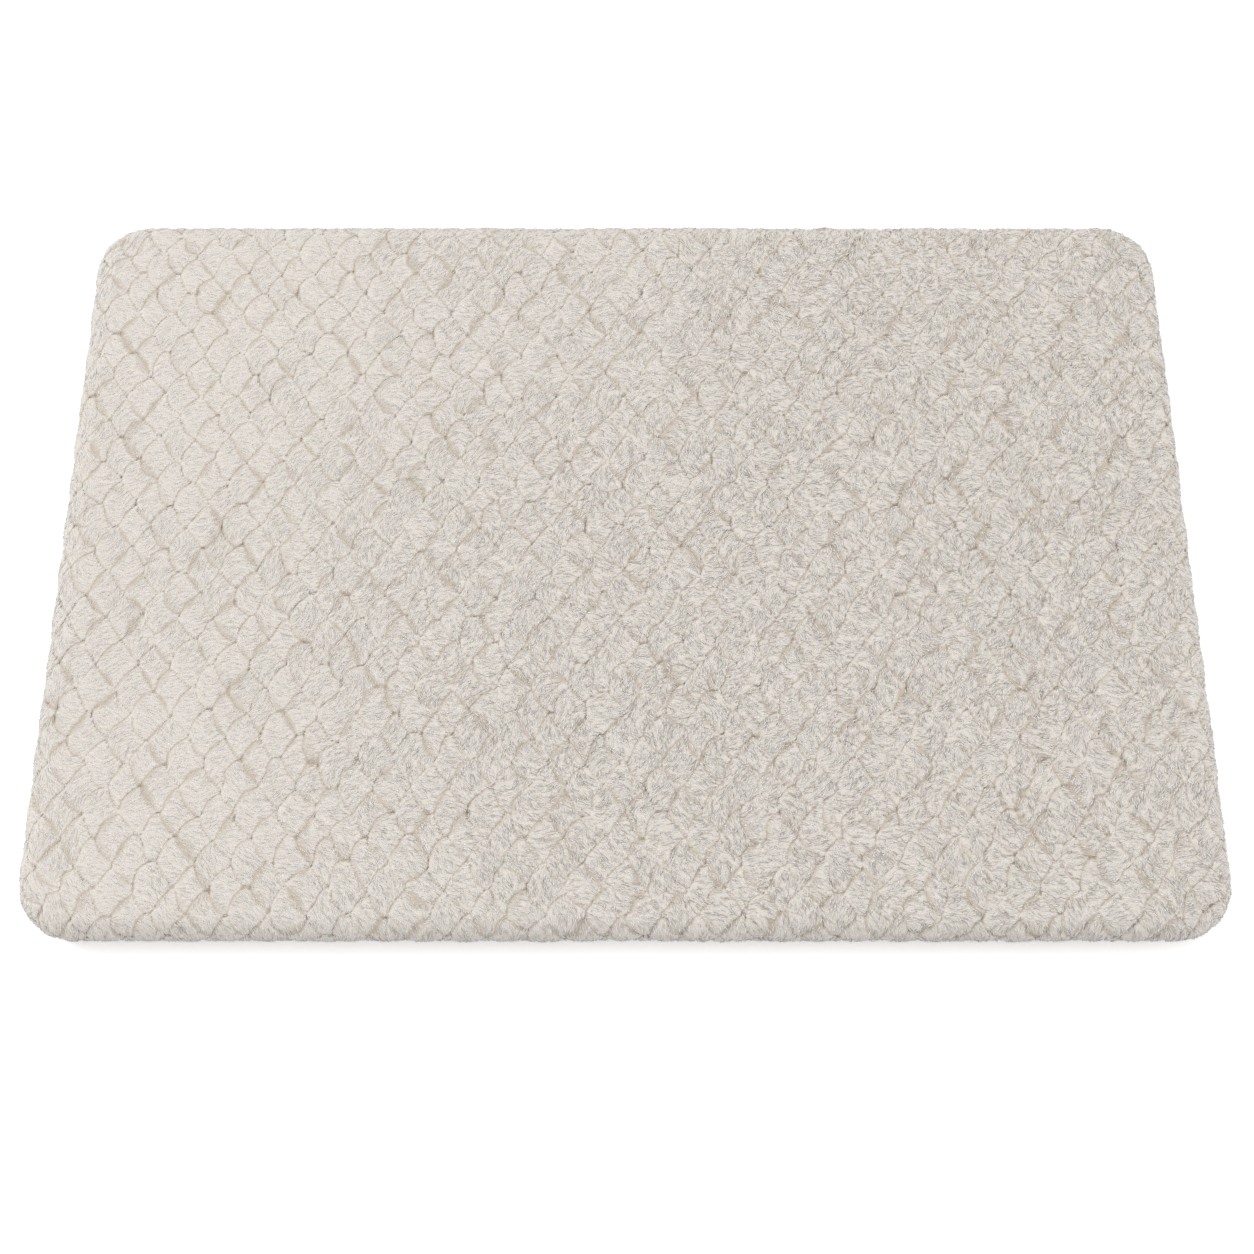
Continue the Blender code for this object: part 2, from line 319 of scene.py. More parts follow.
# The map: the unrolled skin, with its inside drawn smaller beside it.
INSIDE_MAP_SIZE = 0.25
INSIDE_MAP_START = 0.78
corner_points = np.empty(len(plush.data.loops), np.int32)
plush.data.loops.foreach_get("vertex_index", corner_points)
sides = np.empty(len(plush.data.polygons), np.int32)
plush.data.polygons.foreach_get("loop_total", sides)
starts = np.concatenate([[0], np.cumsum(sides)[:-1]])
is_inside = np.minimum.reduceat(corner_points, starts) >= outside_count
corner_inside = np.repeat(is_inside, sides)
whole_x, whole_y = CORE_X + HEM_END, CORE_Y + HEM_END
flat_u = (np.concatenate([skin_a, in_a])[corner_points] + whole_x) / (2 * whole_x)
flat_v = (np.concatenate([skin_b, in_b])[corner_points] + whole_y) / (2 * whole_x)
flat_u = np.where(corner_inside, flat_u * INSIDE_MAP_SIZE, flat_u)
flat_v = np.where(corner_inside, flat_v * INSIDE_MAP_SIZE + INSIDE_MAP_START, flat_v)


def set_map(mesh, u, v):
    """Gives the mesh this one UV map, named OFBake."""
    while mesh.uv_layers:
        mesh.uv_layers.remove(mesh.uv_layers[0])
    layer = mesh.uv_layers.new(name="OFBake")
    layer.data.foreach_set("uv", np.stack([u, v], -1).astype(np.float32).ravel())


set_map(plush.data, flat_u, flat_v)


def material_named(name, colour, roughness):
    """A new material with one plain shader, and its tree and shader."""
    material = bpy.data.materials.new(name)
    material.use_nodes = True
    tree = material.node_tree
    shader = tree.nodes["Principled BSDF"]
    shader.inputs["Base Color"].default_value = (*colour, 1.0)
    shader.inputs["Roughness"].default_value = roughness
    return material, tree, shader


def node(tree, kind, **settings):
    """A new shader node. Settings that name an input set its value, and the others set the node."""
    made = tree.nodes.new("ShaderNode" + kind)
    for name, value in settings.items():
        label = name.replace("_", " ").title()
        if label in made.inputs and made.inputs[label].enabled:
            made.inputs[label].default_value = value
        else:
            setattr(made, name, value)
    return made


def ramp(tree, source, *stops):
    """A colour for each value of source: stops are (value, colour)."""
    made = node(tree, "ValToRGB")
    while len(made.color_ramp.elements) < len(stops):
        made.color_ramp.elements.new(0.5)
    for element, (position, colour) in zip(made.color_ramp.elements, stops):
        element.position = position
        element.color = (*colour, 1.0)
    tree.links.new(source, made.inputs["Fac"])
    return made.outputs["Color"]


def mixed(tree, share, first, second, blend="MIX"):
    """Two colours mixed. Each is a socket or a plain colour, and share is a socket or a number."""
    made = node(tree, "Mix", data_type="RGBA", blend_type=blend)
    for socket, value in ((made.inputs[0], share), (made.inputs[6], first), (made.inputs[7], second)):
        if isinstance(value, bpy.types.NodeSocket):
            tree.links.new(value, socket)
        elif socket.type == "RGBA":
            socket.default_value = (*value, 1.0)
        else:
            socket.default_value = value
    return made.outputs[2]


PILE = (0.755, 0.716, 0.675)
# The skin's colours are darker than the locks': painted shade deep in the pile.
PILE_DEPTH_SHADE = (0.58, 0.535, 0.48)
PILE_SOFT = (0.72, 0.68, 0.63)
# Painted shade: the colour of the crevices between puffs.
CREVICE_PAINTED_SHADE = (0.49, 0.42, 0.335)
# Painted shade: the colour of the pits where three puffs meet.
PIT_PAINTED_SHADE = (0.36, 0.29, 0.21)
PILE_SHEEN, PILE_SHEEN_TINT = 0.25, (1.0, 0.98, 0.95, 1.0)
pile_material, tree, shader = material_named("ivory_pile", PILE, 0.95)
shader.inputs["Sheen Weight"].default_value = PILE_SHEEN
shader.inputs["Sheen Tint"].default_value = PILE_SHEEN_TINT
shader.inputs["Sheen Roughness"].default_value = 0.5
place = node(tree, "TexCoord").outputs["Object"]
fleck = node(tree, "TexNoise", Scale=1600, Detail=2)
tree.links.new(place, fleck.inputs["Vector"])
lead_at = node(tree, "Attribute", attribute_name="crevice_lead")
# Painted shade: the skin is coloured dark brown along the crevices between puffs, where shade falls.
crevice_painted_shade = ramp(tree, lead_at.outputs["Fac"], (0.0, (1, 1, 1)), (0.10, (0.5, 0.5, 0.5)), (0.25, (0, 0, 0)))
# The skin is flecked like fibres and coloured darker than the locks as painted shade deep in the pile.
fibre_and_depth_shade = ramp(tree, fleck.outputs["Fac"], (0.35, PILE_DEPTH_SHADE), (0.65, PILE_SOFT))
pit_at = node(tree, "Attribute", attribute_name="pit_lead")
# Painted shade: the skin is coloured darker still in the pits where three puffs meet.
pit_painted_shade = ramp(tree, pit_at.outputs["Fac"], (0.0, (1, 1, 1)), (0.3, (0.5, 0.5, 0.5)), (0.6, (0, 0, 0)))
colour = mixed(tree, pit_painted_shade, mixed(tree, crevice_painted_shade, fibre_and_depth_shade, CREVICE_PAINTED_SHADE), PIT_PAINTED_SHADE)
tree.links.new(colour, shader.inputs["Base Color"])
bump = node(tree, "Bump", Strength=0.6, Distance=0.0003)
tree.links.new(fleck.outputs["Fac"], bump.inputs["Height"])
tree.links.new(bump.outputs["Normal"], shader.inputs["Normal"])
plush.data.materials.append(pile_material)
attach(plush, "root")
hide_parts("plush_cover")


# Pile locks. The plush's polyester fibres cling together in fine locks, rooted in the cover's cloth.
# On each puff they lie in arcs about a pole of its own and end at its rim, and they hang down round
# the edge.

LOCK_EVERY = 0.00150
LOCK_RADIUS = 0.00042
LOCK_BANDS = 8
LOCK_SHORTEST, LOCK_LONGEST = 0.0034, 0.0062
LOCK_BEND = 0.45
LOCK_OVERHANG = 0.0003
LOCK_DROP = 0.0014
ROOT_DEPTH = 0.0003
TIP_SINK = 0.00004
LAYER, LAYER_MUSSED = 0.00008, 0.00025
MIDDLE_LIFT, TIP_LIFT = 0.0003, 0.0009
PILE_LAY = math.radians(200)
POLE_NEAREST, POLE_SPREAD = 0.009, 0.010
TUFT_TURN = 0.55
TUFT_HALF = 0.010
PLAIN_TONE = 0.62


def lay_of(a, b, puff):
    """The heading of the fibres, in each puff about a pole of its own, and outwards round the edge."""
    mussed = tousled(a, b)
    out, way_x, way_y = away_from_core(a, b)
    chance = puff["chance"]
    angle = PILE_LAY + (0.5 + 1.2 * mussed) * chance[..., 2] + 0.6 * wander(a, b, 0.05, 31)
    bend = POLE_NEAREST + POLE_SPREAD * np.abs(chance[..., 3])
    side = np.where(chance[..., 4] > 0, 1.0, -1.0)
    from_x = puff["x"] + np.sin(angle) * bend * side
    from_y = puff["y"] - np.cos(angle) * bend * side
    heading = np.arctan2(-from_x * side, from_y * side)
    beside = way_x * puff["y"] - way_y * puff["x"]
    outwards = np.where(out > 0, np.arctan2(way_y, way_x), -math.pi / 2)
    outwards -= TUFT_TURN * np.clip(beside / TUFT_HALF, -1, 1)
    turn = (outwards - heading + math.pi) % (2 * math.pi) - math.pi
    over = smooth(FLAT_END - 0.006, OVER_END - 0.004, out)
    return heading + turn * np.maximum(over, 0.5 * smooth(0.12, 0.19, -b))


# One lock: a three-sided spindle along Z from its root to its tip, with a ridge on top.
bpy.ops.object.select_all(action="DESELECT")
bpy.ops.mesh.primitive_cone_add(
    vertices=3, radius1=1, radius2=0, depth=1 - LOCK_BEND, end_fill_type="TRIFAN",
    location=(0, 0, (1 + LOCK_BEND) / 2))
one_lock = bpy.context.object
bpy.ops.object.transform_apply(location=True, rotation=True, scale=True)
bpy.ops.object.mode_set(mode="EDIT")
bpy.ops.mesh.select_all(action="DESELECT")
bpy.ops.object.mode_set(mode="OBJECT")
for vertex in one_lock.data.vertices:
    vertex.select = math.hypot(vertex.co.x, vertex.co.y) < 0.1 and vertex.co.z < 0.9
bpy.ops.object.mode_set(mode="EDIT")
bpy.ops.transform.translate(value=(0, 0, -LOCK_BEND))
bpy.ops.mesh.select_all(action="SELECT")
bpy.ops.mesh.quads_convert_to_tris()
bpy.ops.mesh.normals_make_consistent(inside=False)
bpy.ops.object.mode_set(mode="OBJECT")


def taken(piece):
    """A triangulated pattern piece's points and faces. The piece itself goes."""
    points = np.array([vertex.co[:] for vertex in piece.data.vertices])
    triangles = np.array([face.vertices[:] for face in piece.data.polygons])
    bpy.data.objects.remove(piece)
    return points, triangles


def copies(name, points, pattern):
    """One mesh of many copies: points are theirs, copy by copy, and pattern is one copy's faces."""
    count, each = points.shape[:2]
    triangles = (pattern[None] + np.arange(count)[:, None, None] * each).reshape(-1, 3)
    mesh = bpy.data.meshes.new(name)
    mesh.vertices.add(count * each)
    mesh.vertices.foreach_set("co", points.astype(np.float32).ravel())
    mesh.loops.add(triangles.size)
    mesh.loops.foreach_set("vertex_index", triangles.astype(np.int32).ravel())
    mesh.polygons.add(len(triangles))
    mesh.polygons.foreach_set("loop_start", np.arange(len(triangles), dtype=np.int32) * 3)
    mesh.update(calc_edges=True)
    mesh.shade_smooth()
    made = bpy.data.objects.new(name, mesh)
    bpy.context.scene.collection.objects.link(made)
    return made


def unit(vectors):
    """The same directions, each of length 1."""
    return vectors / np.maximum(np.linalg.norm(vectors, axis=-1, keepdims=True), 1e-9)


lock_points, lock_faces = taken(one_lock)
chance = np.random.default_rng(5)
reach_a, reach_b = CORE_X + UNDER_END, CORE_Y + UNDER_END
columns = np.arange(-reach_a, reach_a, LOCK_EVERY)
rows = np.arange(-reach_b, reach_b, LOCK_EVERY)
middle_a, middle_b = (grid.ravel() for grid in np.meshgrid(columns, rows))
middle_a = middle_a + chance.uniform(-0.6, 0.6, middle_a.size) * LOCK_EVERY
middle_b = middle_b + chance.uniform(-0.6, 0.6, middle_b.size) * LOCK_EVERY
corner = (np.abs(middle_a) > CORE_X) & (np.abs(middle_b) > CORE_Y)
out, _, _ = away_from_core(middle_a, middle_b)
share = np.where(corner, 0.75, 1 - 0.25 * tousled(middle_a, middle_b))
keep = (out < UNDER_END - 0.003) & (chance.uniform(0, 1, middle_a.size) < share)
middle_a, middle_b = middle_a[keep], middle_b[keep]
order = np.argsort(middle_a)
middle_a, middle_b = middle_a[order], middle_b[order]
count = middle_a.size
mussed = tousled(middle_a, middle_b)
out, _, _ = away_from_core(middle_a, middle_b)
hanging = smooth(FLAT_END, OVER_END - 0.006, out)
length = chance.uniform(LOCK_SHORTEST, LOCK_LONGEST, count) * (1 + 0.8 * hanging)
loose = np.maximum(mussed, 0.8 * hanging)
stray = chance.normal(0, 1, count) * (0.14 + 0.26 * mussed * (1 - 0.7 * hanging))
curl = chance.normal(0, 1, count) * (0.25 + 0.5 * mussed * (1 - 0.6 * hanging))
lift = chance.uniform(0.0, 1.0, count) ** 3 * (0.35 + 0.65 * loose)
thick = LOCK_RADIUS * chance.uniform(0.7, 1.2, count) * (0.70 + 0.33 * loose)
tone = PLAIN_TONE + (chance.uniform(0, 1, count) - PLAIN_TONE) * (0.63 + 0.37 * loose)
drop = LOCK_DROP * chance.uniform(0.4, 1.0, count)
layer = chance.uniform(0, 1, count)
own = puffs(middle_a, middle_b)
heading = lay_of(middle_a, middle_b, own) + stray
free = chance.uniform(0, 1, count) < np.maximum(0.05, 0.5 * hanging)


def on_own_puff(way, reach):
    """The end of a lock that goes this way from its middle: at its reach, or a bit past its rim."""
    held = np.zeros(count)
    for share in np.arange(1, 9) / 8:
        spot = puffs(middle_a + np.cos(way) * reach * share, middle_b + np.sin(way) * reach * share)
        stays = (spot["cell"] == own["cell"]) | free
        held = np.where(stays & (share - held < 0.13), share, held)
    far = reach * held + LOCK_OVERHANG
    return middle_a + np.cos(way) * far, middle_b + np.sin(way) * far


# The root is down in the pile, or under the next puff's rim. The middle lies on the pile, and the
# tip stands out over the crevice.
root_a, root_b = on_own_puff(heading - curl / 4 + math.pi, length * LOCK_BEND)
tip_a, tip_b = on_own_puff(heading + curl / 4, length * (1 - LOCK_BEND))
at_root, at_middle, at_tip = (pile(*place)[0] for place in (
    (root_a, root_b), (middle_a, middle_b), (tip_a, tip_b)))
layers = (LAYER + LAYER_MUSSED * mussed) * layer
root = on_cover(root_a, root_b, np.minimum(at_root, at_middle) - ROOT_DEPTH)
bend = on_cover(middle_a, middle_b, at_middle + layers + MIDDLE_LIFT * lift)
tip = on_cover(tip_a, tip_b, np.maximum(at_tip - TIP_SINK, at_middle - drop) + TIP_LIFT * lift)
out_of = on_cover(middle_a, middle_b, 0.01) - on_cover(middle_a, middle_b, 0.0)
beside = unit(np.cross(out_of, tip - root))
above = unit(np.cross(tip - root, beside))
placed = []
for across, up, share in lock_points:
    middle = root if share < 0.1 else tip if share > 0.9 else bend
    placed.append(middle + thick[:, None] * (across * beside + up * above))
placed = np.stack(placed, 1)

# Each lock's map: its own tone across, and the way from its root to its tip along.
LOCK_DARK = (0.56, 0.515, 0.46)
LOCK_SOFT = (0.83, 0.805, 0.785)
LOCK_PALE = (0.94, 0.93, 0.93)
# Painted shade towards each lock's root, and paler worn tips.
ROOT_PAINTED_SHADE = (0.69, 0.64, 0.58)
MIDDLE_PAINTED_SHADE = (0.88, 0.87, 0.85)
MAP_MARGIN, MAP_SPAN = 0.02, 0.96
lock_material, tree, shader = material_named("ivory_locks", PILE, 0.9)
shader.inputs["Sheen Weight"].default_value = PILE_SHEEN
shader.inputs["Sheen Tint"].default_value = PILE_SHEEN_TINT
shader.inputs["Sheen Roughness"].default_value = 0.5
lock_map = node(tree, "UVMap", uv_map="OFBake")
split_map = node(tree, "SeparateXYZ")
tree.links.new(lock_map.outputs["UV"], split_map.inputs[0])
tint = ramp(tree, split_map.outputs["X"], (0.0, LOCK_DARK), (0.35, LOCK_SOFT), (1.0, LOCK_PALE))
# Each lock darkens towards its root: painted shade down in the pile, with paler worn tips.
along = ramp(tree, split_map.outputs["Y"], (0.0, ROOT_PAINTED_SHADE), (0.5, MIDDLE_PAINTED_SHADE), (0.95, (1, 1, 1)))
tree.links.new(mixed(tree, 1.0, tint, along, "MULTIPLY"), shader.inputs["Base Color"])

for number, band in enumerate(np.array_split(np.arange(count), LOCK_BANDS), 1):
    locks = copies(f"pile_locks_{number}", placed[band], lock_faces)
    shade_u = np.repeat(MAP_MARGIN + MAP_SPAN * tone[band], lock_faces.size)
    along_v = np.tile(MAP_MARGIN + MAP_SPAN * lock_points[lock_faces.ravel(), 2], len(band))
    set_map(locks.data, shade_u, along_v)
    locks.data.materials.append(lock_material)
    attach(locks, "root")


# Foam core. A block of soft cream polyurethane foam gives the mat its cushion. It is cut with round
# corners and a rounded top rim, and it lies loose in the cover.

FOAM_CREAM = (0.80, 0.74, 0.56)
FOAM_CORNER = 0.0212
FOAM_RIM = 0.005
FOAM_UNDER_RIM = 0.001


def box_piece(name, low, high):
    """A box between two corners."""
    bpy.ops.object.select_all(action="DESELECT")
    bpy.ops.mesh.primitive_cube_add(size=1, location=(low + high) / 2, scale=high - low)
    piece = bpy.context.object
    piece.name = piece.data.name = name
    bpy.ops.object.transform_apply(location=True, rotation=True, scale=True)
    return piece


def bevel(piece, chosen, width, segments):
    """Rounds the edges whose two ends pass this test. Others keep their place."""
    for edge in piece.data.edges:
        edge.select = False
    for edge in piece.data.edges:
        first, second = (piece.data.vertices[index].co for index in edge.vertices)
        edge.select = chosen(first, second)
    for face in piece.data.polygons:
        face.select = False
    for vertex in piece.data.vertices:
        vertex.select = False
    bpy.context.view_layer.objects.active = piece
    bpy.ops.object.mode_set(mode="EDIT")
    bpy.ops.mesh.select_mode(type="EDGE")
    bpy.ops.mesh.bevel(offset=width, segments=segments, affect="EDGES")
    bpy.ops.object.mode_set(mode="OBJECT")


def upright(first, second):
    """Whether the edge between these points stands up."""
    return abs(first.z - second.z) > 0.0005


def at_level(level):
    """A test for edges that lie at this level."""
    return lambda first, second: max(abs(first.z - level), abs(second.z - level)) < 1e-6


foam = box_piece("foam_block", foam_low, foam_high)
bevel(foam, upright, FOAM_CORNER, 8)
bevel(foam, at_level(foam_high.z), FOAM_RIM, 6)
bevel(foam, at_level(foam_low.z), FOAM_UNDER_RIM, 2)
foam.data.shade_smooth()
foam_material, tree, shader = material_named("cream_foam", FOAM_CREAM, 0.95)
place = node(tree, "TexCoord").outputs["Object"]
pores = node(tree, "TexVoronoi", Scale=1500)
tree.links.new(place, pores.inputs["Vector"])
cloud = node(tree, "TexNoise", Scale=60, Detail=4)
tree.links.new(place, cloud.inputs["Vector"])
patches = ramp(tree, cloud.outputs["Fac"], (0.3, (0.76, 0.69, 0.50)), (0.7, (0.83, 0.78, 0.61)))
# Painted shade: the foam is coloured darker in the hollow middles of its pores.
pore_painted_shade = ramp(tree, pores.outputs["Distance"], (0.0, (0.55, 0.50, 0.42)), (0.45, (1, 1, 1)))
tree.links.new(mixed(tree, 1.0, patches, pore_painted_shade, "MULTIPLY"), shader.inputs["Base Color"])
bump = node(tree, "Bump", Strength=0.6, Distance=0.0003)
tree.links.new(pores.outputs["Distance"], bump.inputs["Height"])
tree.links.new(bump.outputs["Normal"], shader.inputs["Normal"])
foam.data.materials.append(foam_material)
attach(foam, "root")
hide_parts("foam_core")


# Foam lining. A thin white sheet of non-woven polypropylene closes the foam's underside, so that the
# foam doesn't rub on the backing. It is cut to the foam's outline and laid in loose under it.

lining_low, lining_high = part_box("foam_lining")
LINING_THICKNESS = 0.0004
LINING_CELL = 0.008
LINING_RIPPLE = 0.00005


def even_lines(half, step):
    """Evenly spaced lines about the middle, close to this step apart."""
    return np.linspace(-half, half, 2 * round(half / step) + 1)


def applied(piece, kind, **settings):
    """Adds a modifier of this kind and applies it."""
    modifier = piece.modifiers.new(kind.lower(), kind)
    for name, value in settings.items():
        setattr(modifier, name, value)
    bpy.ops.object.select_all(action="DESELECT")
    piece.select_set(True)
    bpy.context.view_layer.objects.active = piece
    bpy.ops.object.modifier_apply(modifier=modifier.name)


lining, flat_x, flat_y = grid_piece(
    "lining_sheet", even_lines(lining_high.x, LINING_CELL), even_lines(lining_high.y, LINING_CELL))
out, _, _ = away_from_core(flat_x, flat_y)
ripple = LINING_RIPPLE * wander(flat_x, flat_y, 0.05, 61)
middle_level = (lining_low.z + lining_high.z) / 2
set_points(lining.data, set_round(flat_x, flat_y, out, middle_level + ripple))
applied(lining, "SOLIDIFY", thickness=LINING_THICKNESS, offset=0)
lining.data.shade_smooth()
lining.data.set_sharp_from_angle(angle=math.radians(40))
lining_material, tree, shader = material_named("white_nonwoven", (0.82, 0.815, 0.80), 0.8)
place = node(tree, "TexCoord").outputs["Object"]
bonds = node(tree, "TexVoronoi", Scale=600)
tree.links.new(place, bonds.inputs["Vector"])
fibres = node(tree, "TexNoise", Scale=1800, Detail=3, Distortion=2)
tree.links.new(place, fibres.inputs["Vector"])
dots = ramp(tree, bonds.outputs["Distance"], (0.12, (0.88, 0.88, 0.87)), (0.22, (1, 1, 1)))
strands = ramp(tree, fibres.outputs["Fac"], (0.3, (0.77, 0.765, 0.75)), (0.7, (0.86, 0.855, 0.84)))
tree.links.new(mixed(tree, 1.0, strands, dots, "MULTIPLY"), shader.inputs["Base Color"])
bump = node(tree, "Bump", Strength=0.5, Distance=0.0001)
tree.links.new(dots, bump.inputs["Height"])
tree.links.new(bump.outputs["Normal"], shader.inputs["Normal"])
lining.data.materials.append(lining_material)
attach(lining, "root")
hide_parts("foam_lining")


# Grip backing. A warm grey sheet of soft rubber, moulded in one with round studs that stand on the
# floor. It closes the cover's opening underneath, and its margin is sewn onto the hem.

BACKING_TOP = 0.003
BACKING_BOTTOM = 0.002
BACKING_CORNER = 0.014
BACKING_ROUNDING = 0.0003
STUD_TIP, STUD_ROOT = 0.0042, 0.0050
STUD_HEIGHT = 0.0023
STUD_ROUNDING = 0.0005
STUD_PITCH = 0.024

backing_low, backing_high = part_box("grip_backing")
backing = box_piece(
    "rubber_backing",
    Vector((backing_low.x, backing_low.y, BACKING_BOTTOM)),
    Vector((backing_high.x, backing_high.y, BACKING_TOP)),
)
bevel(backing, upright, BACKING_CORNER, 8)
bevel(backing, at_level(BACKING_TOP), BACKING_ROUNDING, 2)
bevel(backing, at_level(BACKING_BOTTOM), BACKING_ROUNDING, 2)

# One stud, from the floor up into the sheet, then a copy wherever the CAD backing touches the floor.
bpy.ops.object.select_all(action="DESELECT")
bpy.ops.mesh.primitive_cone_add(
    vertices=20, radius1=STUD_TIP, radius2=STUD_ROOT, depth=STUD_HEIGHT,
    location=(0, 0, STUD_HEIGHT / 2))
one_stud = bpy.context.object
bpy.ops.object.transform_apply(location=True, rotation=True, scale=True)
bevel(one_stud, at_level(0), STUD_ROUNDING, 3)
bpy.ops.object.mode_set(mode="EDIT")
bpy.ops.mesh.select_all(action="SELECT")
bpy.ops.mesh.quads_convert_to_tris()
bpy.ops.object.mode_set(mode="OBJECT")
stud_points, stud_faces = taken(one_stud)
standing = {
    (round(vertex.co.x / STUD_PITCH), round(vertex.co.y / STUD_PITCH))
    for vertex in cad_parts["grip_backing"].data.vertices
    if vertex.co.z < 0.0001
}
stud_places = np.array(sorted(standing)) * STUD_PITCH
stud_places = np.concatenate([stud_places, np.zeros((len(stud_places), 1))], 1)
studs = copies("studs", stud_points[None] + stud_places[:, None], stud_faces)
applied(backing, "BOOLEAN", object=studs, operation="UNION", solver="EXACT")
bpy.data.objects.remove(studs)
backing.data.shade_smooth()
backing.data.set_sharp_from_angle(angle=math.radians(40))
rubber_material, tree, shader = material_named("grey_rubber", (0.56, 0.54, 0.505), 0.62)
shader.inputs["Specular IOR Level"].default_value = 0.35
place = node(tree, "TexCoord").outputs["Object"]
grain = node(tree, "TexVoronoi", Scale=1100)
tree.links.new(place, grain.inputs["Vector"])
cloud = node(tree, "TexNoise", Scale=35, Detail=5)
tree.links.new(place, cloud.inputs["Vector"])
tree.links.new(
    ramp(tree, cloud.outputs["Fac"], (0.3, (0.53, 0.51, 0.475)), (0.7, (0.59, 0.57, 0.535))),
    shader.inputs["Base Color"])
bump = node(tree, "Bump", Strength=0.5, Distance=0.0002)
tree.links.new(grain.outputs["Distance"], bump.inputs["Height"])
tree.links.new(bump.outputs["Normal"], shader.inputs["Normal"])
backing.data.materials.append(rubber_material)
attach(backing, "root")
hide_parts("grip_backing")


# Seam. A row of lockstitches in ecru polyester thread sews the backing to the hem. The needle thread
# shows underneath, one stitch at a time, and the bobbin thread lies on the hem inside.

SEAM_INSET = 0.019
SEAM_CORNER = 0.011
STITCH_PITCH = 0.0036
STITCH_LENGTH = 0.0030
THREAD_RADIUS = 0.0002
NEEDLE_LEVEL, NEEDLE_END_RISE = 0.0015, 0.00022
BOBBIN_LEVEL, BOBBIN_END_DROP = 0.0054, 0.00012
SEAM_START = 0.0005

seam_x, seam_y = cover_high.x - SEAM_INSET, cover_high.y - SEAM_INSET
turns = np.linspace(0, math.pi / 2, 13)
outline_turn = np.concatenate([turns + quarter * math.pi / 2 for quarter in range(4)] + [[2 * math.pi]])
sides_x = np.repeat([1, -1, -1, 1], 13) * (seam_x - SEAM_CORNER)
sides_y = np.repeat([1, 1, -1, -1], 13) * (seam_y - SEAM_CORNER)
outline = np.stack([
    np.append(sides_x, sides_x[0]) + SEAM_CORNER * np.cos(outline_turn),
    np.append(sides_y, sides_y[0]) + SEAM_CORNER * np.sin(outline_turn)], -1)
outline_length = np.append(0, np.cumsum(np.hypot(*np.diff(outline, axis=0).T)))

# One stitch: a blunt-ended strand along Y, from -1 to 1.
bpy.ops.object.select_all(action="DESELECT")
bpy.ops.mesh.primitive_uv_sphere_add(segments=6, ring_count=6, radius=1, rotation=(-math.pi / 2, 0, 0))
one_stitch = bpy.context.object
bpy.ops.object.transform_apply(location=True, rotation=True, scale=True)
bpy.ops.object.mode_set(mode="EDIT")
bpy.ops.mesh.select_all(action="SELECT")
bpy.ops.mesh.quads_convert_to_tris()
bpy.ops.object.mode_set(mode="OBJECT")
stitch_points, stitch_faces = taken(one_stitch)
ring = np.hypot(stitch_points[:, 0], stitch_points[:, 2])
stitch_points[:, ::2] /= np.sqrt(np.maximum(ring, 1e-6))[:, None]


def stitches(name, middle_level, end_level):
    """A whole row of stitches along the seam: their middles at one level and their ends at another."""
    number = round(outline_length[-1] / STITCH_PITCH)
    middles = np.arange(number)[:, None] * outline_length[-1] / number + SEAM_START
    station = (middles + stitch_points[:, 1] * STITCH_LENGTH / 2) % outline_length[-1]
    turn = np.interp(station, outline_length, outline_turn)
    across = stitch_points[:, 0] * THREAD_RADIUS
    x = np.interp(station, outline_length, outline[:, 0]) + across * np.cos(turn)
    y = np.interp(station, outline_length, outline[:, 1]) + across * np.sin(turn)
    level = middle_level + (end_level - middle_level) * stitch_points[:, 1] ** 2
    z = level + stitch_points[:, 2] * THREAD_RADIUS + 0 * x
    return copies(name, np.stack([x, y, z], -1), stitch_faces)


thread_material, tree, shader = material_named("ecru_thread", (0.76, 0.72, 0.66), 0.55)
shader.inputs["Sheen Weight"].default_value = 0.3
place = node(tree, "TexCoord").outputs["Object"]
twist = node(tree, "TexWave", wave_type="BANDS", bands_direction="DIAGONAL", Scale=700)
tree.links.new(place, twist.inputs["Vector"])
# Painted shade: the thread is coloured in darker and lighter bands along its twist, for the grooves
# between its plies.
twist_painted_shade = ramp(tree, twist.outputs["Fac"], (0.0, (0.66, 0.62, 0.55)), (0.6, (0.80, 0.765, 0.71)))
tree.links.new(twist_painted_shade, shader.inputs["Base Color"])
for name, middle_level, end_level, node_name in (
        ("seam_stitches_below", NEEDLE_LEVEL, NEEDLE_LEVEL + NEEDLE_END_RISE, "seam_needle_thread"),
        ("seam_stitches_inside", BOBBIN_LEVEL, BOBBIN_LEVEL - BOBBIN_END_DROP, "seam_bobbin_thread")):
    row = stitches(name, middle_level, end_level)
    row.data.materials.append(thread_material)
    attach(row, "root")
    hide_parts(node_name)


# Label tack. A bar tack, which is a short dense row of zigzag stitches in the same thread. It sews
# the care label's two ends to the backing.

TACK_WAVES = 22
TACK_Y = 0.193
TACK_SLANT = 0.00012
tack_low, tack_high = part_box("label_tack")
tack_x = np.linspace(tack_low.x, tack_high.x, 2 * TACK_WAVES + 1)
tack_x = (tack_x[:-1] + tack_x[1:]) / 2
slant = np.where(np.arange(tack_x.size) % 2 == 0, 1, -1)[:, None] * TACK_SLANT
reach = (tack_high.y - tack_low.y) / 2
x = tack_x[:, None] + slant * stitch_points[:, 1] + stitch_points[:, 0] * THREAD_RADIUS
y = TACK_Y + reach * stitch_points[:, 1] + 0 * x
z = (tack_low.z + tack_high.z) / 2 + stitch_points[:, 2] * THREAD_RADIUS + 0 * x
tack = copies("label_tack_stitches", np.stack([x, y, z], -1), stitch_faces)
tack.data.materials.append(thread_material)
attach(tack, "root")
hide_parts("label_tack")


